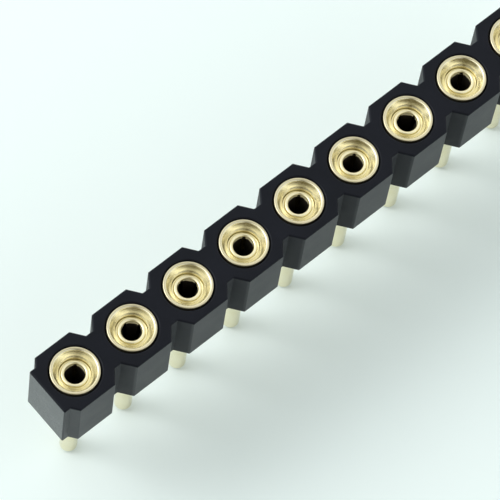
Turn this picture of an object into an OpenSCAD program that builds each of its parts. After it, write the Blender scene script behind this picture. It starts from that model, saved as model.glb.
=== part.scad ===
// Single-row female header strip with turned contacts: a moulded insulator
// carries one press-fitted contact sleeve per position, and each sleeve holds
// a four-finger spring clip. Millimetres, +Z up, +X along the row. The origin
// is on the first contact's axis, where the barrels' shoulders meet the board.

/* [Strip] */
// Number of contact positions
positions = 10; // [2:1:20]
// Distance between neighbouring contacts
pitch = 2.54; // [2.1:0.02:3.2]

/* [Insulator] */
// Width of the body across its side flats
body_width = 2.5; // [2.05:0.05:3.2]
// Height of the body
body_height = 2.9; // [2.3:0.05:4.2]
// Length of each position's side flat
side_flat = 1.54; // [1.2:0.02:1.7]
// Length of the flat at the bottom of a notch between two positions
notch_floor = 0.28; // [0.1:0.02:0.36]
// Depth of a notch between two positions
notch_depth = 0.475; // [0.3:0.025:0.6]
// Distance from the outermost contact's axis to the end face
end_length = 1.25; // [1.16:0.01:1.5]
// Depth of the bevel between a side flat and the end, across the row
end_bevel_depth = 0.29; // [0.1:0.01:0.4]
// Length of the same bevel, along the row
end_bevel_length = 0.22; // [0.1:0.01:0.24]
// Radius of the body's upright corners
corner_r = 0.05; // [0.01:0.01:0.08]

/* [Spring clip] */
// Diameter of the clip's mouth
mouth_d = 0.72; // [0.6:0.01:0.88]
// Thickness of the rolled lip round the mouth
lip_wall = 0.14; // [0.1:0.01:0.16]
// Height of the lip, from its top to where the fingers leave it
lip_height = 0.2; // [0.18:0.01:0.3]
// Width of the shoulder between the lip and the outside of the skirt
shoulder = 0.07; // [0.06:0.01:0.09]
// Depth of the shoulder below the top of the lip
shoulder_drop = 0.12; // [0.08:0.01:0.14]
// Thickness of the skirt that holds the clip in the sleeve
skirt_wall = 0.05; // [0.03:0.005:0.07]
// Height of the clip from the foot of its skirt to the top of its lip
clip_height = 0.58; // [0.4:0.02:0.7]
// Thickness of the fingers
finger_thickness = 0.075; // [0.05:0.005:0.08]
// Width of a finger where it leaves the lip
finger_root = 0.44; // [0.36:0.02:0.46]
// Width of a finger at the throat
finger_end = 0.3; // [0.24:0.02:0.34]
// Distance across the throat between opposite fingers
throat = 0.38; // [0.36:0.01:0.46]
// Depth of the throat below the lip
throat_drop = 1.25; // [1:0.05:1.4]
// How far each finger flares out below the throat
flare = 0.075; // [0.03:0.005:0.1]
// Length of the flared end below the throat
flare_length = 0.25; // [0.15:0.05:0.35]

/* [Contact sleeve] */
// Width of the ledge that the clip's skirt stands on
ledge = 0.05; // [0.03:0.01:0.06]
// Depth of the bore left free below the clip
bore_room = 0.7; // [0.2:0.05:0.9]
// Wall of the barrel round the clip
barrel_wall = 0.11; // [0.08:0.01:0.15]
// Length of the barrel below the body
barrel_standoff = 1.3; // [1:0.05:1.8]
// Bevel at the foot of the barrel
barrel_bevel = 0.12; // [0.05:0.01:0.2]
// Height of the retaining ring above the barrel's surface
barb_rise = 0.05; // [0.02:0.01:0.06]
// Length of the retaining ring
barb_length = 0.4; // [0.2:0.05:0.6]
// Distance from the underside of the head to the retaining ring
barb_drop = 0.55; // [0.3:0.05:0.7]
// Diameter of the head
head_d = 1.77; // [1.6:0.01:2.1]
// Height of the head
head_height = 0.45; // [0.35:0.05:0.6]
// Height of the head's rim above the body
head_proud = 0.04; // [0.02:0.01:0.15]
// Bevel round the outer edge of the head
head_bevel = 0.03; // [0.01:0.01:0.06]
// Width of the flat rim between the bevel and the funnel
rim_width = 0.065; // [0.02:0.005:0.09]
// Depth of the funnel that leads into the clip
funnel_depth = 0.27; // [0.2:0.01:0.35]
// Width of the step where the funnel ends, outside the bore
funnel_step = 0.01; // [0.01:0.01:0.06]
// Diameter of the soldering tail
tail_d = 0.64; // [0.5:0.02:0.76]
// Length of the soldering tail
tail_length = 3.2; // [2.4:0.05:4.2]
// Diameter of the tail's end
tail_tip_d = 0.48; // [0.3:0.02:0.5]
// Length of the taper at the tail's end
tail_tip_length = 0.15; // [0.1:0.05:0.4]

/* [Fits] */
// Radial gap between the head and its recess in the body
head_gap = 0.045; // [0.02:0.005:0.08]
// Radial gap at the retaining ring
barb_gap = 0.01; // [0.005:0.005:0.03]
// Radial gap between the clip's skirt and the bore that it stands in
clip_gap = 0.01; // [0.005:0.005:0.02]
// Distance from the end of the funnel down to the clip's lip
lip_drop = 0.02; // [0:0.01:0.06]

/* [Hidden] */
$fn = 64;
corner_steps = 3;
insulator_color = [0.11, 0.12, 0.14];
sleeve_color = [0.86, 0.75, 0.5];
clip_color = [0.93, 0.83, 0.58];

// Diameters, from the clip's mouth outwards
lip_d = mouth_d + 2 * lip_wall;
skirt_d = lip_d + 2 * shoulder;
bore_d = skirt_d + 2 * clip_gap;
pilot_d = bore_d - 2 * ledge;
barrel_d = bore_d + 2 * barrel_wall;
barb_d = barrel_d + 2 * barb_rise;
hole_d = barb_d + 2 * barb_gap;
recess_d = head_d + 2 * head_gap;
funnel_d = head_d - 2 * (head_bevel + rim_width);
funnel_floor_d = bore_d + 2 * funnel_step;

// Heights of the planes that the pieces share
body_floor = barrel_standoff;
body_top = body_floor + body_height;
rim = body_top + head_proud;
head_seat = rim - head_height;
barb_top = head_seat - barb_drop;
barb_foot = barb_top - barb_length;
funnel_floor = rim - funnel_depth;
lip_top = funnel_floor - lip_drop;
lip_foot = lip_top - lip_height;
clip_seat = lip_top - clip_height;
throat_level = lip_foot - throat_drop;
finger_tip = throat_level - flare_length;
bore_floor = finger_tip - bore_room;
drill_point = pilot_d / 2 * tan(30);

// Outline of the body
last_x = (positions - 1) * pitch;
flat_end = side_flat / 2;
end_width = body_width - 2 * end_bevel_depth;
neck_width = body_width - 2 * notch_depth;
cut_over = 1;

function contact_x(i) = (i - 1) * pitch;

// The angles at which the clips happen to sit, over and over along a longer strip
clip_turns = [4, 45, 42, 0, 2, -4, 47, -2, 5, 44];
function clip_turn(i) = clip_turns[(i - 1) % len(clip_turns)];

function reversed(list) = [for (k = [len(list) - 1:-1:0]) list[k]];

// One side of the outline from the first end face to the last, side = 1 or -1
function side_corners(side) = concat(
    [[-end_length, side * end_width / 2]],
    [[-flat_end - end_bevel_length, side * end_width / 2]],
    [for (i = [1:positions]) each concat(
        [[contact_x(i) - flat_end, side * body_width / 2]],
        [[contact_x(i) + flat_end, side * body_width / 2]],
        i == positions ? [] : [for (s = [-1, 1])
            [contact_x(i) + (pitch + s * notch_floor) / 2, side * neck_width / 2]])],
    [[last_x + flat_end + end_bevel_length, side * end_width / 2]],
    [[last_x + end_length, side * end_width / 2]]);

function unit(v) = v / norm(v);

// The arc that rounds a corner of the outline, whichever way it turns
function corner_arc(before, corner, after) =
    let (u = unit(before - corner), v = unit(after - corner))
    let (half = acos(u * v) / 2)
    let (centre = corner + unit(u + v) * corner_r / sin(half))
    let (first = corner + u * corner_r / tan(half) - centre)
    let (last = corner + v * corner_r / tan(half) - centre)
    [for (k = [0:corner_steps])
        centre + corner_r * unit((corner_steps - k) * first + k * last)];

function rounded(list) =
    let (count = len(list))
    [for (k = [0:count - 1])
        each corner_arc(list[(k + count - 1) % count], list[k], list[(k + 1) % count])];

module insulator() {
    color(insulator_color) difference() {
        translate([0, 0, body_floor])
            linear_extrude(body_height)
                polygon(rounded(concat(side_corners(-1), reversed(side_corners(1)))));
        for (i = [1:positions])
            translate([contact_x(i), 0, 0]) {
                translate([0, 0, body_floor - cut_over])
                    cylinder(h = body_height + 2 * cut_over, d = hole_d);
                translate([0, 0, head_seat])
                    cylinder(h = head_height + cut_over, d = recess_d);
            }
    }
}

module contact_sleeve() {
    color(sleeve_color) rotate_extrude() polygon([
        [0, -tail_length],
        [tail_tip_d / 2, -tail_length],
        [tail_d / 2, tail_tip_length - tail_length],
        [tail_d / 2, 0],
        [barrel_d / 2 - barrel_bevel, 0],
        [barrel_d / 2, barrel_bevel],
        [barrel_d / 2, barb_foot - barb_rise],
        [barb_d / 2, barb_foot],
        [barb_d / 2, barb_top],
        [barrel_d / 2, barb_top],
        [barrel_d / 2, head_seat],
        [head_d / 2, head_seat],
        [head_d / 2, rim - head_bevel],
        [head_d / 2 - head_bevel, rim],
        [funnel_d / 2, rim],
        [funnel_floor_d / 2, funnel_floor],
        [bore_d / 2, funnel_floor],
        [bore_d / 2, clip_seat],
        [pilot_d / 2, clip_seat],
        [pilot_d / 2, bore_floor],
        [0, bore_floor - drill_point]]);
}

// The strip is rolled over at the top: a skirt outside, a round lip, fingers inside
module clip_ring() {
    rotate_extrude() {
        translate([(mouth_d + lip_wall) / 2, lip_top - lip_wall / 2])
            circle(d = lip_wall);
        translate([mouth_d / 2, lip_foot])
            square([lip_wall, lip_height - lip_wall / 2]);
        translate([mouth_d / 2, lip_foot])
            square([lip_wall + shoulder, lip_height - shoulder_drop]);
        translate([skirt_d / 2 - skirt_wall, clip_seat])
            square([skirt_wall, clip_height - shoulder_drop]);
    }
}

// One flat finger, leaning in from the lip to the throat and flared below it
module clip_finger() {
    intersection() {
        rotate([90, 0, 0]) linear_extrude(finger_root, center = true) polygon([
            [mouth_d / 2, lip_foot],
            [throat / 2, throat_level],
            [throat / 2 + flare, finger_tip],
            [throat / 2 + flare + finger_thickness, finger_tip],
            [throat / 2 + finger_thickness, throat_level],
            [mouth_d / 2 + finger_thickness, lip_foot],
            [(mouth_d + finger_thickness) / 2, lip_foot + finger_thickness / 2]]);
        rotate([90, 0, 90]) linear_extrude(lip_d) polygon([
            [-finger_root / 2, lip_top],
            [-finger_root / 2, lip_foot],
            [-finger_end / 2, throat_level],
            [-finger_end / 2, finger_tip],
            [finger_end / 2, finger_tip],
            [finger_end / 2, throat_level],
            [finger_root / 2, lip_foot],
            [finger_root / 2, lip_top]]);
    }
}

module spring_clip() {
    color(clip_color) {
        clip_ring();
        for (a = [0:90:270])
            rotate([0, 0, a]) clip_finger();
    }
}

insulator();
for (i = [1:positions]) {
    translate([contact_x(i), 0, 0]) contact_sleeve();
    translate([contact_x(i), 0, 0]) rotate([0, 0, clip_turn(i)]) spring_clip();
}
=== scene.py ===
"""Looks of the in-line header strip: a finer mesh for every CAD node, its materials, and the studio.

The frame is the CAD's: origin on the first contact's axis at the board, +X along the row, +Z up.
Sizes are in millimetres here, and become metres in the meshes, the materials and the studio.
"""
import math

import bmesh
import bpy
from mathutils import Matrix, Vector


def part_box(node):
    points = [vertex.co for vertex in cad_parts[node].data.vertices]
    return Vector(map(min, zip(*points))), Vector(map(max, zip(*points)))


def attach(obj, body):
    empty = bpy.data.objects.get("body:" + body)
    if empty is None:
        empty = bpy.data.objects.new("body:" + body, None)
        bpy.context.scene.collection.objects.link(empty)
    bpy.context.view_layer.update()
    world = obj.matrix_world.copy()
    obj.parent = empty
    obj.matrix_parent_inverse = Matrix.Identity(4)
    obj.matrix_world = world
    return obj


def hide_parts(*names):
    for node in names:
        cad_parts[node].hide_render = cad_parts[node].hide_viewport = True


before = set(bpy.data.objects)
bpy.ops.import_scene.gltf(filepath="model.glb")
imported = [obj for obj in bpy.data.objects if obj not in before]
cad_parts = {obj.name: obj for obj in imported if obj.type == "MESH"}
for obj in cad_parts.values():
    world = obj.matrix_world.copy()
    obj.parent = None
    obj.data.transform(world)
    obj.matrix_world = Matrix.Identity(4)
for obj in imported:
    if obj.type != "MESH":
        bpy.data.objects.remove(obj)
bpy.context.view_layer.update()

MM = 0.001

# ---- places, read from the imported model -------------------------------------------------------


def box_mm(node):
    low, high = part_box(node)
    return low / MM, high / MM


def middle_x(node):
    low, high = box_mm(node)
    return (low.x + high.x) / 2


POSITIONS = sum(1 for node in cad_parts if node.startswith("contact_sleeve_"))
CONTACT_X = [middle_x(f"contact_sleeve_{index}") for index in range(1, POSITIONS + 1)]
PITCH = (CONTACT_X[-1] - CONTACT_X[0]) / (POSITIONS - 1)

body_low, body_high = box_mm("insulator")
sleeve_low, sleeve_high = box_mm("contact_sleeve_1")
clip_low, clip_high = box_mm("spring_clip_1")

BODY_FLOOR = body_low.z
BODY_TOP = body_high.z
RIM = sleeve_high.z
TAIL_TIP = sleeve_low.z
LIP_TOP = clip_high.z
FINGER_TIP = clip_low.z
END_LENGTH = CONTACT_X[0] - body_low.x
BODY_WIDTH = body_high.y - body_low.y
HEAD_R = (sleeve_high.x - sleeve_low.x) / 2

# ---- sizes that the boxes don't give, as in the part's source -----------------------------------

SIDE_FLAT = 1.54
NOTCH_FLOOR = 0.28
NOTCH_DEPTH = 0.475
END_BEVEL_DEPTH = 0.29
END_BEVEL_LENGTH = 0.22
CORNER_R = 0.05
MOULDED_EDGE_R = 0.07
HEAD_GAP = 0.045
RECESS_R = HEAD_R + HEAD_GAP
HOLE_R = 0.75

MOUTH_R = 0.36
LIP_WALL = 0.14
LIP_HEIGHT = 0.2
SHOULDER = 0.07
SHOULDER_DROP = 0.12
SKIRT_WALL = 0.05
CLIP_HEIGHT = 0.58
FINGER_THICKNESS = 0.075
FINGER_ROOT = 0.44
FINGER_END = 0.3
THROAT_R = 0.19
THROAT_DROP = 1.25
FLARE = 0.075
FINGERS = 4
STAMPED_EDGE = 0.012
# How far each clip happened to be turned when it was pressed in, in degrees
CLIP_TURNS = [4, 45, 42, 0, 2, -4, 47, -2, 5, 44]

HEAD_HEIGHT = 0.45
FUNNEL_R = 0.79
FUNNEL_DEPTH = 0.27
BORE_R = 0.58
FUNNEL_STEP = 0.01
PILOT_R = 0.53
BORE_ROOM = 0.7
DRILL_POINT_ANGLE = 30
BARREL_R = 0.69
BARREL_BEVEL = 0.12
BARB_RISE = 0.05
BARB_LENGTH = 0.4
BARB_DROP = 0.55
TAIL_R = 0.32
TAIL_TIP_R = 0.24
TAIL_TIP_LENGTH = 0.15

HEAD_SEAT = RIM - HEAD_HEIGHT
CLIP_SEAT = LIP_TOP - CLIP_HEIGHT
LIP_FOOT = LIP_TOP - LIP_HEIGHT
THROAT_LEVEL = LIP_FOOT - THROAT_DROP
BORE_FLOOR = FINGER_TIP - BORE_ROOM
DRILL_POINT = BORE_FLOOR - PILOT_R * math.tan(math.radians(DRILL_POINT_ANGLE))

# ---- how fine the meshes are --------------------------------------------------------------------

OUTLINE_STEP = 0.07
FINGER_STEP = 0.12
SLEEVE_SEGMENTS = 96
CLIP_SEGMENTS = 80

# ---- mesh helpers ---------------------------------------------------------------------------

ON_AXIS = 1e-6
SAME_PLACE = 1e-5
WELD_DISTANCE = 1e-4
# Keeps a stretch that is a whole number of steps long from getting one part more
STEP_SLACK = 1e-6
# The most of an edge that the arc at one of its ends may take
EDGE_SHARE = 0.45


def corner_arc(before, corner, after, radius, steps):
    """The arc that rounds a corner between two straight edges, whichever way it turns.

    It takes at most EDGE_SHARE of either edge, so that neighbouring arcs never meet.
    """
    to_before = (before - corner).normalized()
    to_after = (after - corner).normalized()
    half = to_before.angle(to_after) / 2
    shorter = min((before - corner).length, (after - corner).length)
    reach = min(radius / math.tan(half), EDGE_SHARE * shorter)
    radius = reach * math.tan(half)
    centre = corner + (to_before + to_after).normalized() * radius / math.sin(half)
    first = corner + to_before * reach - centre
    last = corner + to_after * reach - centre
    return [centre + radius * (first.lerp(last, k / steps)).normalized() for k in range(steps + 1)]


def rounded_path(corners, steps, closed):
    """Points of a path through corners given as (x, y, radius), each rounded unless its radius is 0."""
    places = [Vector(corner[:2]) for corner in corners]
    path = []
    for k, corner in enumerate(corners):
        at_end = not closed and k in (0, len(corners) - 1)
        if at_end or corner[2] == 0:
            path.append(places[k])
            continue
        path += corner_arc(places[k - 1], places[k], places[(k + 1) % len(places)], corner[2], steps)
    return path


def new_piece(name, bm, edge_width=0, edge_segments=2, edge_angle=50):
    """A smooth piece from a mesh in millimetres, with sharp edges eased if edge_width is given.

    Weighted normals keep flat faces flat beside their small rounded edges. The modifiers are applied
    before the mesh comes down to metres, because weighted normals fail on faces that small.
    """
    bmesh.ops.recalc_face_normals(bm, faces=bm.faces)
    for face in bm.faces:
        face.smooth = True
    mesh = bpy.data.meshes.new(name)
    bm.to_mesh(mesh)
    bm.free()
    piece = bpy.data.objects.new(name, mesh)
    bpy.context.scene.collection.objects.link(piece)
    if edge_width:
        bevel = piece.modifiers.new("eased_edges", "BEVEL")
        bevel.width = edge_width
        bevel.segments = edge_segments
        bevel.limit_method = "ANGLE"
        bevel.angle_limit = math.radians(edge_angle)
        bevel.miter_outer = "MITER_ARC"
    weighted = piece.modifiers.new("weighted_normals", "WEIGHTED_NORMAL")
    weighted.mode = "FACE_AREA"
    weighted.weight = 100
    graph = bpy.context.evaluated_depsgraph_get()
    finished = bpy.data.meshes.new_from_object(
        piece.evaluated_get(graph), preserve_all_data_layers=True, depsgraph=graph)
    piece.modifiers.clear()
    piece.data = finished
    bpy.data.meshes.remove(mesh)
    finished.name = name
    finished.transform(Matrix.Scale(MM, 4))
    return piece


def add_band(bm, one, other):
    """Faces between two closed rings of vertices. A ring may be a single point."""
    count = max(len(one), len(other))
    for k in range(count):
        after = (k + 1) % count
        corners = [one[k % len(one)], one[after % len(one)], other[after % len(other)], other[k % len(other)]]
        bm.faces.new(list(dict.fromkeys(corners)))


def add_lathe(bm, path, segments, closed=False):
    """Turn a path of (r, z) points about Z. Points on the axis close the form of an open path."""
    rings = []
    for point in path:
        if point.x < ON_AXIS:
            rings.append([bm.verts.new((0, 0, point.y))])
            continue
        ring = []
        for k in range(segments):
            angle = 2 * math.pi * k / segments
            ring.append(bm.verts.new((point.x * math.cos(angle), point.x * math.sin(angle), point.y)))
        rings.append(ring)
    for one, other in zip(rings, rings[1:]):
        add_band(bm, one, other)
    if closed:
        add_band(bm, rings[-1], rings[0])


# ---- insulator ------------------------------------------------------------------------------


def side_corners(side):
    """Corners of the body's outline along one side, 1 or -1, from the first end face to the last."""
    end_y = side * (BODY_WIDTH / 2 - END_BEVEL_DEPTH)
    flat_y = side * BODY_WIDTH / 2
    neck_y = side * (BODY_WIDTH / 2 - NOTCH_DEPTH)
    to_bevel = SIDE_FLAT / 2 + END_BEVEL_LENGTH
    corners = [(CONTACT_X[0] - END_LENGTH, end_y), (CONTACT_X[0] - to_bevel, end_y)]
    for k, x in enumerate(CONTACT_X):
        corners += [(x - SIDE_FLAT / 2, flat_y), (x + SIDE_FLAT / 2, flat_y)]
        if k + 1 < POSITIONS:
            middle = x + PITCH / 2
            corners += [(middle - NOTCH_FLOOR / 2, neck_y), (middle + NOTCH_FLOOR / 2, neck_y)]
    corners += [(CONTACT_X[-1] + to_bevel, end_y), (CONTACT_X[-1] + END_LENGTH, end_y)]
    return corners


def body_outline():
    """The whole rounded outline, and a point on each seam between two positions."""
    corners = side_corners(-1) + side_corners(1)[::-1]
    path = rounded_path([(x, y, CORNER_R) for x, y in corners], steps=5, closed=True)
    seams = [x + PITCH / 2 for x in CONTACT_X[:-1]]
    outline = []
    for k, point in enumerate(path):
        outline.append(point)
        after = path[(k + 1) % len(path)]
        for seam in seams:
            if (point.x - seam) * (after.x - seam) < 0:
                share = (seam - point.x) / (after.x - point.x)
                outline.append(point.lerp(after, share))
    return outline


def split_evenly(points, step, closed):
    """The same path with every stretch divided so that no part is longer than step."""
    count = len(points) if closed else len(points) - 1
    finer = []
    for k in range(count):
        start, end = points[k], points[(k + 1) % len(points)]
        parts = max(1, math.ceil((end - start).length / step - STEP_SLACK))
        finer += [start.lerp(end, part / parts) for part in range(parts)]
    return finer if closed else finer + [points[-1]]


def insulator_cells():
    """For each position: its contact's x, the outline round it as a loop, and which edges are walls.

    The edges that aren't walls are the seams, where a position joins its neighbour.
    """
    outline = body_outline()
    cells = []
    for x in CONTACT_X:
        low, high = x - PITCH / 2, x + PITCH / 2
        inside = [p for p in outline if low - SAME_PLACE <= p.x <= high + SAME_PLACE]
        inside.sort(key=lambda p: math.atan2(p.y, p.x - x))
        loop = split_evenly(inside, OUTLINE_STEP, closed=True)
        walls = []
        for k, point in enumerate(loop):
            after = loop[(k + 1) % len(loop)]
            across_row = abs(point.x - after.x) < SAME_PLACE
            on_seam = across_row and min(abs(point.x - low), abs(point.x - high)) < SAME_PLACE
            at_end = (x == CONTACT_X[0] and point.x < x) or (x == CONTACT_X[-1] and point.x > x)
            walls.append(at_end or not on_seam)
        cells.append((x, loop, walls))
    return cells


def insulator():
    bm = bmesh.new()
    for x, loop, walls in insulator_cells():

        def circle(radius, z):
            ring = []
            for point in loop:
                outward = (point - Vector((x, 0))).normalized()
                ring.append(bm.verts.new((x + outward.x * radius, outward.y * radius, z)))
            return ring

        def edge(z):
            return [bm.verts.new((point.x, point.y, z)) for point in loop]

        rings = [
            edge(BODY_TOP), circle(RECESS_R, BODY_TOP), circle(RECESS_R, HEAD_SEAT),
            circle(HOLE_R, HEAD_SEAT), circle(HOLE_R, BODY_FLOOR), edge(BODY_FLOOR),
        ]
        for one, other in zip(rings, rings[1:]):
            add_band(bm, one, other)
        for k, wall in enumerate(walls):
            if wall:
                after = (k + 1) % len(loop)
                bm.faces.new([rings[-1][k], rings[-1][after], rings[0][after], rings[0][k]])
    bmesh.ops.remove_doubles(bm, verts=bm.verts, dist=WELD_DISTANCE)
    return new_piece("moulded_body", bm, edge_width=MOULDED_EDGE_R, edge_segments=4, edge_angle=40)


# ---- contact sleeves -------------------------------------------------------------------------


def sleeve_path():
    """The turned sleeve's half section, from the tail's end round the outside and down the bore."""
    barb_top = HEAD_SEAT - BARB_DROP
    barb_foot = barb_top - BARB_LENGTH
    corners = [
        (0, TAIL_TIP, 0),
        (TAIL_TIP_R, TAIL_TIP, 0.03),
        (TAIL_R, TAIL_TIP + TAIL_TIP_LENGTH, 0.12),
        (TAIL_R, 0, 0.04),
        (BARREL_R - BARREL_BEVEL, 0, 0.03),
        (BARREL_R, BARREL_BEVEL, 0.04),
        (BARREL_R, barb_foot - BARB_RISE, 0.02),
        (BARREL_R + BARB_RISE, barb_foot, 0.015),
        (BARREL_R + BARB_RISE, barb_top, 0.01),
        (BARREL_R, barb_top, 0.01),
        (BARREL_R, HEAD_SEAT, 0.01),
        (HEAD_R, HEAD_SEAT, 0.015),
        (HEAD_R, RIM, 0.035),
        (FUNNEL_R, RIM, 0.085),
        (BORE_R + FUNNEL_STEP, RIM - FUNNEL_DEPTH, 0.012),
        (BORE_R, RIM - FUNNEL_DEPTH - FUNNEL_STEP, 0.006),
        (BORE_R, CLIP_SEAT, 0.005),
        (PILOT_R, CLIP_SEAT, 0.005),
        (PILOT_R, BORE_FLOOR, 0.03),
        (0, DRILL_POINT, 0),
    ]
    return rounded_path(corners, steps=6, closed=False)


def contact_sleeve(index):
    bm = bmesh.new()
    add_lathe(bm, sleeve_path(), SLEEVE_SEGMENTS)
    piece = new_piece(f"turned_contact_{index}", bm)
    piece.location.x = CONTACT_X[index - 1] * MM
    return piece


# ---- spring clips ----------------------------------------------------------------------------


def clip_ring_path():
    """Closed half section of the rolled top: the skirt outside, the round lip, the inner edge."""
    lip_r = MOUTH_R + LIP_WALL
    skirt_r = lip_r + SHOULDER
    corners = [
        (MOUTH_R, LIP_FOOT, 0.02),
        (skirt_r - SKIRT_WALL, LIP_FOOT, 0.015),
        (skirt_r - SKIRT_WALL, CLIP_SEAT, 0.01),
        (skirt_r, CLIP_SEAT, 0.015),
        (skirt_r, LIP_TOP - SHOULDER_DROP, 0.03),
        (lip_r, LIP_TOP - SHOULDER_DROP, 0.02),
        (lip_r, LIP_TOP, LIP_WALL / 2),
        (MOUTH_R, LIP_TOP, LIP_WALL / 2),
    ]
    return rounded_path(corners, steps=8, closed=True)


def finger_sections():
    """(inner face's x, z, half width) down one finger, with a soft bend at the lip and at the throat."""
    inset = FINGER_THICKNESS / 2
    corners = [
        (MOUTH_R, LIP_FOOT + inset, 0),
        (MOUTH_R, LIP_FOOT, 0.1),
        (THROAT_R, THROAT_LEVEL, 0.5),
        (THROAT_R + FLARE, FINGER_TIP, 0),
    ]
    path = split_evenly(rounded_path(corners, steps=8, closed=False), FINGER_STEP, closed=False)
    sections = []
    for point in path:
        share = min(max((LIP_FOOT - point.y) / THROAT_DROP, 0), 1)
        sections.append((point.x, point.y, (FINGER_ROOT + share * (FINGER_END - FINGER_ROOT)) / 2))
    return sections


def add_finger(bm, turn):
    """One finger, swung round the clip's axis by turn."""
    rings = []
    for x, z, half in finger_sections():
        outer = x + FINGER_THICKNESS
        ring = []
        for place in ((x, -half), (x, half), (outer, half), (outer, -half)):
            spot = Matrix.Rotation(turn, 4, "Z") @ Vector((place[0], place[1], z))
            ring.append(bm.verts.new(spot))
        rings.append(ring)
    for one, other in zip(rings, rings[1:]):
        add_band(bm, one, other)
    bm.faces.new(rings[0])
    bm.faces.new(rings[-1][::-1])


def spring_clip(index):
    bm = bmesh.new()
    add_lathe(bm, clip_ring_path(), CLIP_SEGMENTS, closed=True)
    for k in range(FINGERS):
        add_finger(bm, 2 * math.pi * k / FINGERS)
    piece = new_piece(f"clip_{index}", bm, edge_width=STAMPED_EDGE)
    piece.location.x = CONTACT_X[index - 1] * MM
    piece.rotation_euler.z = math.radians(CLIP_TURNS[(index - 1) % len(CLIP_TURNS)])
    return piece


# ---- materials --------------------------------------------------------------------------------

# Colour ramps over slow noise, each as (place on the ramp, colour)
BLACKS = [(0.3, (0.0025, 0.003, 0.005)), (0.7, (0.0045, 0.005, 0.0085))]
SLEEVE_GOLDS = [(0.3, (0.95, 0.88, 0.61)), (0.7, (1.0, 0.95, 0.735))]
CLIP_GOLDS = [(0.3, (0.92, 0.83, 0.53)), (0.7, (0.96, 0.89, 0.62))]
# Painted light: a paler colour for the end faces, where the lamp falls on them
PAINTED_END_LIGHT = (0.03, 0.033, 0.035)
DARKER_GOLD = (0.48, 0.41, 0.24)
# Painted shade: black for the sleeve's bore and for the clip below its lip
PAINTED_SHADE_BLACK = (0.012, 0.009, 0.006)

# Roughness before the noise is added, and how it changes from place to place
MOULDING_ROUGHNESS = 0.3
NOTCH_ROUGHER = 0.16
END_ROUGHER = -0.13
SLEEVE_ROUGHNESS = 0.1
RIM_ROUGHER = 0.15
CLIP_ROUGHNESS = 0.2

# How much each noise adds to the roughness, at its fullest
CLOUD_ROUGHNESS = 0.12
GRAIN_ROUGHNESS = 0.1
RING_ROUGHNESS = 0.08

# The share of a darker gold mixed in at the rim and below the head
RIM_DARKENING = 0.55
BARREL_DARKENING = 0.3
# Where the metal gives way to a dull surface: the least roughness, and the part of its shine that goes
DULL_ROUGHNESS = 0.6
DULL_LOSS = 0.85

# Scales of noise, per metre
MOULDING_CLOUDS = 900
MOULDING_GRAIN = 26000
PLATING_CLOUDS = 1400

# How much faster the rings follow each other across a face than along the axis
RING_SLANT = 1.3
# How much lower on the fingers the painted shade starts than in the gaps between them, where it paints them
# black
FINGER_SHADE_DROP = 0.17

# Sockets of the colour Mix node
MIX_SHARE = 0
MIX_FIRST = 6
MIX_SECOND = 7
MIX_COLOUR = 2


class Nodes:
    """A short way to build a tree of shader nodes."""

    def __init__(self, tree):
        self.tree = tree
        self.shader = tree.nodes.get("Principled BSDF")

    def add(self, kind, **settings):
        node = self.tree.nodes.new(kind)
        for key, value in settings.items():
            setattr(node, key, value)
        return node

    def link(self, output, socket):
        self.tree.links.new(output, socket)

    def parts(self, vector):
        """The X, Y and Z of a vector, by name or in that order."""
        node = self.add("ShaderNodeSeparateXYZ")
        self.link(vector, node.inputs[0])
        return node.outputs

    def math(self, operation, first, second=None):
        node = self.add("ShaderNodeMath", operation=operation)
        for socket, value in zip(node.inputs, (first, second)):
            if value is None:
                continue
            if isinstance(value, (int, float)):
                socket.default_value = value
            else:
                self.link(value, socket)
        return node.outputs[0]

    def smooth(self, value, start, end):
        """0 at start, 1 at end, eased between."""
        node = self.add("ShaderNodeMapRange", interpolation_type="SMOOTHSTEP")
        node.inputs["From Min"].default_value = start
        node.inputs["From Max"].default_value = end
        self.link(value, node.inputs["Value"])
        return node.outputs[0]

    def noise(self, vector, scale, detail=3, roughness=0.5):
        node = self.add("ShaderNodeTexNoise")
        node.inputs["Scale"].default_value = scale
        node.inputs["Detail"].default_value = detail
        node.inputs["Roughness"].default_value = roughness
        self.link(vector, node.inputs["Vector"])
        return node.outputs["Fac"]

    def mix(self, share, first, second):
        """The first colour, a socket, gives way to the second, a plain colour, as share goes to 1."""
        node = self.add("ShaderNodeMix", data_type="RGBA")
        node.inputs[MIX_SECOND].default_value = (*second, 1)
        self.link(share, node.inputs[MIX_SHARE])
        self.link(first, node.inputs[MIX_FIRST])
        return node.outputs[MIX_COLOUR]

    def ramp(self, factor, stops):
        node = self.add("ShaderNodeValToRGB")
        elements = node.color_ramp.elements
        while len(elements) < len(stops):
            elements.new(0.5)
        for element, (place, colour) in zip(elements, stops):
            element.position = place
            element.color = (*colour, 1)
        self.link(factor, node.inputs["Fac"])
        return node.outputs["Color"]

    def bump(self, height, strength, distance, before=None):
        node = self.add("ShaderNodeBump")
        node.inputs["Strength"].default_value = strength
        node.inputs["Distance"].default_value = distance
        self.link(height, node.inputs["Height"])
        if before is not None:
            self.link(before, node.inputs["Normal"])
        return node.outputs["Normal"]


def new_material(name):
    """A new node material, and the helper that builds its tree."""
    material = bpy.data.materials.new(name)
    material.use_nodes = True
    return material, Nodes(material.node_tree)


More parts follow.
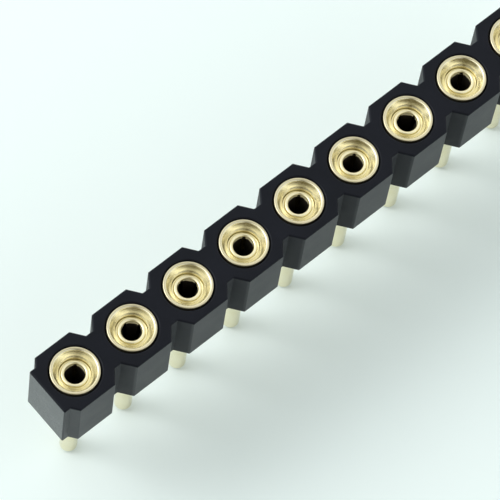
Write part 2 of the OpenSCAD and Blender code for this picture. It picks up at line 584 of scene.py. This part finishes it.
def black_moulding():
    """Satin black plastic. The notches are duller, and the end faces glossier, with a paler colour painted on
    as painted light from the lamp that falls on them.
    """
    material, n = new_material("black_moulding")
    inputs = n.shader.inputs
    place = n.add("ShaderNodeTexCoord").outputs["Object"]
    spot = n.parts(place)
    facing = n.parts(n.add("ShaderNodeTexCoord").outputs["Normal"])
    at_end = n.smooth(n.math("ABSOLUTE", facing["X"]), 0.9, 0.97)

    middle = (CONTACT_X[0] + CONTACT_X[-1]) / 2
    reach = middle - CONTACT_X[0] + SIDE_FLAT / 2
    from_middle = n.math("ABSOLUTE", n.math("SUBTRACT", spot["X"], middle * MM))
    between_ends = n.smooth(from_middle, (reach + 0.02) * MM, reach * MM)
    from_side = n.math("SUBTRACT", BODY_WIDTH / 2 * MM, n.math("ABSOLUTE", spot["Y"]))
    inward = n.smooth(from_side, 0.02 * MM, 0.1 * MM)
    upright = n.smooth(n.math("ABSOLUTE", facing["Z"]), 0.6, 0.3)
    in_notch = n.math("MULTIPLY", n.math("MULTIPLY", between_ends, inward), upright)

    cloudy = n.noise(place, MOULDING_CLOUDS, 4, 0.6)
    grain = n.noise(place, MOULDING_GRAIN, 2, 0.6)
    # Painted light: the end faces get a paler colour for the lamp light that falls on them
    n.link(n.mix(at_end, n.ramp(cloudy, BLACKS), PAINTED_END_LIGHT), inputs["Base Color"])
    rough = n.math("ADD", n.math("MULTIPLY", cloudy, CLOUD_ROUGHNESS),
                   n.math("MULTIPLY", grain, GRAIN_ROUGHNESS))
    rough = n.math("ADD", rough, n.math("MULTIPLY", at_end, END_ROUGHER))
    rough = n.math("ADD", rough, n.math("MULTIPLY", in_notch, NOTCH_ROUGHER))
    n.link(n.math("ADD", rough, MOULDING_ROUGHNESS), inputs["Roughness"])
    inputs["IOR"].default_value = 1.42
    inputs["Specular Tint"].default_value = (0.42, 0.45, 0.52, 1)
    inputs["Sheen Weight"].default_value = 0.05
    inputs["Sheen Tint"].default_value = (0.9, 0.95, 1, 1)
    inputs["Sheen Roughness"].default_value = 0.35
    waves = n.bump(cloudy, 0.25, 0.02 * MM)
    n.link(n.bump(grain, 0.35, 0.002 * MM, waves), inputs["Normal"])
    return material


def plated_places(n):
    """The plating's clouds, a point's X, Y and Z on its own piece, and its distance from the axis."""
    place = n.add("ShaderNodeTexCoord").outputs["Object"]
    cloudy = n.noise(place, PLATING_CLOUDS, 3, 0.6)
    spot = n.parts(place)
    x, y = spot["X"], spot["Y"]
    radius = n.math("SQRT", n.math("ADD", n.math("MULTIPLY", x, x), n.math("MULTIPLY", y, y)))
    return cloudy, spot, radius


def plated_finish(n, cloudy, z, radius, colour, roughness, ring_step, dull=None):
    """Plating over turned or rolled metal: fine rings round the axis and slight clouding.

    Where dull is 1, the metal gives way to a dull surface, as deep in a bore.
    """
    inputs = n.shader.inputs
    along = n.math("ADD", n.math("MULTIPLY", radius, RING_SLANT), z)
    line = n.add("ShaderNodeCombineXYZ")
    n.link(along, line.inputs[0])
    rings = n.noise(line.outputs[0], 1 / (ring_step * MM), 1, 0.6)
    n.link(colour, inputs["Base Color"])
    inputs["Metallic"].default_value = 1.0
    rough = n.math("ADD", n.math("MULTIPLY", cloudy, CLOUD_ROUGHNESS),
                   n.math("MULTIPLY", rings, RING_ROUGHNESS))
    rough = n.math("ADD", rough, roughness)
    if dull is not None:
        rough = n.math("MAXIMUM", rough, n.math("MULTIPLY", dull, DULL_ROUGHNESS))
        n.link(n.math("SUBTRACT", 1.0, n.math("MULTIPLY", dull, DULL_LOSS)), inputs["Metallic"])
    n.link(rough, inputs["Roughness"])
    tool_marks = n.bump(rings, 0.45, 0.03 * MM)
    n.link(n.bump(cloudy, 0.05, 0.01 * MM, tool_marks), inputs["Normal"])


def turned_gold():
    """The sleeve: bright funnel, a darker gold at the rim and on the barrel and tail, and painted shade,
    black, down the bore.
    """
    material, n = new_material("turned_gold")
    cloudy, spot, radius = plated_places(n)
    z = spot["Z"]
    colour = n.ramp(cloudy, SLEEVE_GOLDS)

    # Painted shade: the bore below the clip is painted black
    within_bore = n.smooth(radius, (BORE_R + 0.02) * MM, (BORE_R + 0.01) * MM)
    above_tail = n.smooth(z, BARREL_BEVEL * MM, DRILL_POINT * MM)
    below_clip = n.smooth(z, (CLIP_SEAT + 0.05) * MM, CLIP_SEAT * MM)
    in_bore = n.math("MULTIPLY", within_bore, n.math("MULTIPLY", above_tail, below_clip))
    colour = n.mix(in_bore, colour, PAINTED_SHADE_BLACK)

    # A darker gold is mixed in at the rim and below the head
    at_rim = n.smooth(radius, (FUNNEL_R - 0.03) * MM, (FUNNEL_R + 0.02) * MM)
    below_head = n.smooth(z, HEAD_SEAT * MM, (HEAD_SEAT - 0.1) * MM)
    darker_share = n.math("MAXIMUM", n.math("MULTIPLY", at_rim, RIM_DARKENING),
                  n.math("MULTIPLY", below_head, BARREL_DARKENING))
    colour = n.mix(darker_share, colour, DARKER_GOLD)
    roughness = n.math("ADD", n.math("MULTIPLY", at_rim, RIM_ROUGHER), SLEEVE_ROUGHNESS)
    plated_finish(n, cloudy, z, radius, colour, roughness, ring_step=0.2)
    return material


def stamped_gold():
    """The clip: a bright lip, and below it painted shade, black that starts lower on the fingers than between
    them, so the fingers fade as they go down.
    """
    material, n = new_material("stamped_gold")
    cloudy, spot, radius = plated_places(n)
    z = spot["Z"]
    colour = n.ramp(cloudy, CLIP_GOLDS)

    # Painted shade: inside the mouth the clip is painted black below the lip, starting lower on the fingers
    # than in the gaps between them
    turn = n.math("ARCTAN2", spot["Y"], spot["X"])
    on_finger = n.smooth(n.math("COSINE", n.math("MULTIPLY", turn, FINGERS)), -0.95, -0.6)
    lifted = n.math("ADD", z, n.math("MULTIPLY", on_finger, FINGER_SHADE_DROP * MM))
    lip_edge = LIP_TOP - LIP_WALL / 2
    deep = n.smooth(lifted, (lip_edge + 0.05) * MM, (lip_edge - 0.02) * MM)
    inner = n.smooth(radius, (MOUTH_R + 0.07) * MM, (MOUTH_R + 0.05) * MM)
    colour = n.mix(n.math("MULTIPLY", deep, inner), colour, PAINTED_SHADE_BLACK)

    below_edge = n.smooth(z, lip_edge * MM, (lip_edge - 0.03) * MM)
    dull = n.math("MULTIPLY", inner, below_edge)
    plated_finish(n, cloudy, z, radius, colour, CLIP_ROUGHNESS, ring_step=0.15, dull=dull)
    return material


# ---- studio -----------------------------------------------------------------------------------

# Azimuths from +X, elevations and the roll in degrees; lengths in metres, but the lens in millimetres
CAMERA_AZIMUTH = -139.853
CAMERA_ELEVATION = 67.203
CAMERA_DISTANCE = 0.154475
CAMERA_ROLL = 10.357
LENS = 319.277
AIM = Vector((7.601, -0.346, RIM)) * MM

KEY_AZIMUTH = 132
KEY_ELEVATION = 44
KEY_DISTANCE = 0.5
KEY_SIZE = 0.22
KEY_POWER = 0.75
KEY_COLOUR = (1.0, 0.99, 0.97)

FLOOR_REACH = 3
FLOOR_COLOUR = (0.832, 0.929, 0.934)
TENT_COLOUR = (0.89, 0.915, 0.895)
OPENING_COLOUR = (0.06, 0.045, 0.005)
TENT_LEVEL = 1.14
LEFT_GAIN = 0.35

# Where the edges of the openings fade from pale to dark, as coordinates on a unit sphere
LOW_OPENING_TOP = (0.55, 0.2)  # up
LOW_OPENING_BACK = (0.3, 0.6)  # toward the camera
STRIP_SIDE = (0.27, 0.1)  # across
STRIP_BACK = (-0.36, -0.2)  # toward the camera
# Where the left side's extra brightness comes in, across
LEFT_SIDE = (0.1, -0.7)


def direction(azimuth, elevation):
    """The unit vector that points that way from the object."""
    turn, rise = math.radians(azimuth), math.radians(elevation)
    return Vector((math.cos(turn) * math.cos(rise), math.sin(turn) * math.cos(rise), math.sin(rise)))


def floor():
    """A sheet of pale paper under the tails."""
    bm = bmesh.new()
    bmesh.ops.create_grid(bm, x_segments=2, y_segments=2, size=FLOOR_REACH)
    mesh = bpy.data.meshes.new("floor")
    bm.to_mesh(mesh)
    bm.free()
    piece = bpy.data.objects.new("floor", mesh)
    bpy.context.scene.collection.objects.link(piece)
    piece.location.z = TAIL_TIP * MM
    material, n = new_material("floor_paper")
    n.shader.inputs["Base Color"].default_value = (*FLOOR_COLOUR, 1)
    n.shader.inputs["Roughness"].default_value = 0.7
    n.shader.inputs["Specular IOR Level"].default_value = 0.2
    piece.data.materials.append(material)


def key_light():
    """A soft square light high on the left, as the camera sees it."""
    light = bpy.data.lights.new("key", "AREA")
    light.shape = "RECTANGLE"
    light.size = KEY_SIZE
    light.size_y = KEY_SIZE
    light.energy = KEY_POWER
    light.color = KEY_COLOUR
    lamp = bpy.data.objects.new("key", light)
    bpy.context.scene.collection.objects.link(lamp)
    away = direction(KEY_AZIMUTH, KEY_ELEVATION)
    lamp.location = AIM + away * KEY_DISTANCE
    lamp.rotation_euler = away.to_track_quat("Z", "Y").to_euler()


def studio_world():
    """A pale tent, brighter on the left, with two dark openings.

    One is low on the camera's side. The other is a strip from there up over the object.
    """
    world = bpy.data.worlds.new("studio")
    bpy.context.scene.world = world
    world.use_nodes = True
    n = Nodes(world.node_tree)
    backdrop = n.tree.nodes["Background"]
    x, y, z = n.parts(n.add("ShaderNodeTexCoord").outputs["Generated"])
    turn = math.radians(CAMERA_AZIMUTH)
    toward = n.math("ADD", n.math("MULTIPLY", x, math.cos(turn)), n.math("MULTIPLY", y, math.sin(turn)))
    across = n.math("ADD", n.math("MULTIPLY", x, -math.sin(turn)), n.math("MULTIPLY", y, math.cos(turn)))
    low = n.math("MULTIPLY", n.smooth(z, *LOW_OPENING_TOP), n.smooth(toward, *LOW_OPENING_BACK))
    in_strip = n.smooth(n.math("ABSOLUTE", across), *STRIP_SIDE)
    above = n.math("MULTIPLY", in_strip, n.smooth(toward, *STRIP_BACK))
    colour = n.ramp(n.math("MAXIMUM", low, above), [(0, TENT_COLOUR), (1, OPENING_COLOUR)])
    n.link(colour, backdrop.inputs["Color"])
    gain = n.math("MULTIPLY", n.smooth(across, *LEFT_SIDE), LEFT_GAIN)
    n.link(n.math("ADD", gain, TENT_LEVEL), backdrop.inputs["Strength"])


def camera():
    view = bpy.data.cameras.new("camera")
    view.lens = LENS
    view.sensor_width = 36
    view.clip_start = 0.01
    view.clip_end = 20
    eye = bpy.data.objects.new("camera", view)
    bpy.context.scene.collection.objects.link(eye)
    away = direction(CAMERA_AZIMUTH, CAMERA_ELEVATION)
    facing = away.to_track_quat("Z", "Y").to_matrix().to_4x4()
    tilt = Matrix.Rotation(math.radians(CAMERA_ROLL), 4, "Z")
    eye.matrix_world = Matrix.Translation(AIM + away * CAMERA_DISTANCE) @ facing @ tilt
    bpy.context.scene.camera = eye


# ---- assembly ---------------------------------------------------------------------------------


def finish_piece(piece, node, material):
    piece.data.materials.append(material)
    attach(piece, "root")
    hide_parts(node)


plastic = black_moulding()
sleeve_gold = turned_gold()
clip_gold = stamped_gold()

finish_piece(insulator(), "insulator", plastic)
for index in range(1, POSITIONS + 1):
    finish_piece(contact_sleeve(index), f"contact_sleeve_{index}", sleeve_gold)
    finish_piece(spring_clip(index), f"spring_clip_{index}", clip_gold)

floor()
studio_world()
key_light()
camera()
bpy.context.scene.view_settings.view_transform = "Standard"
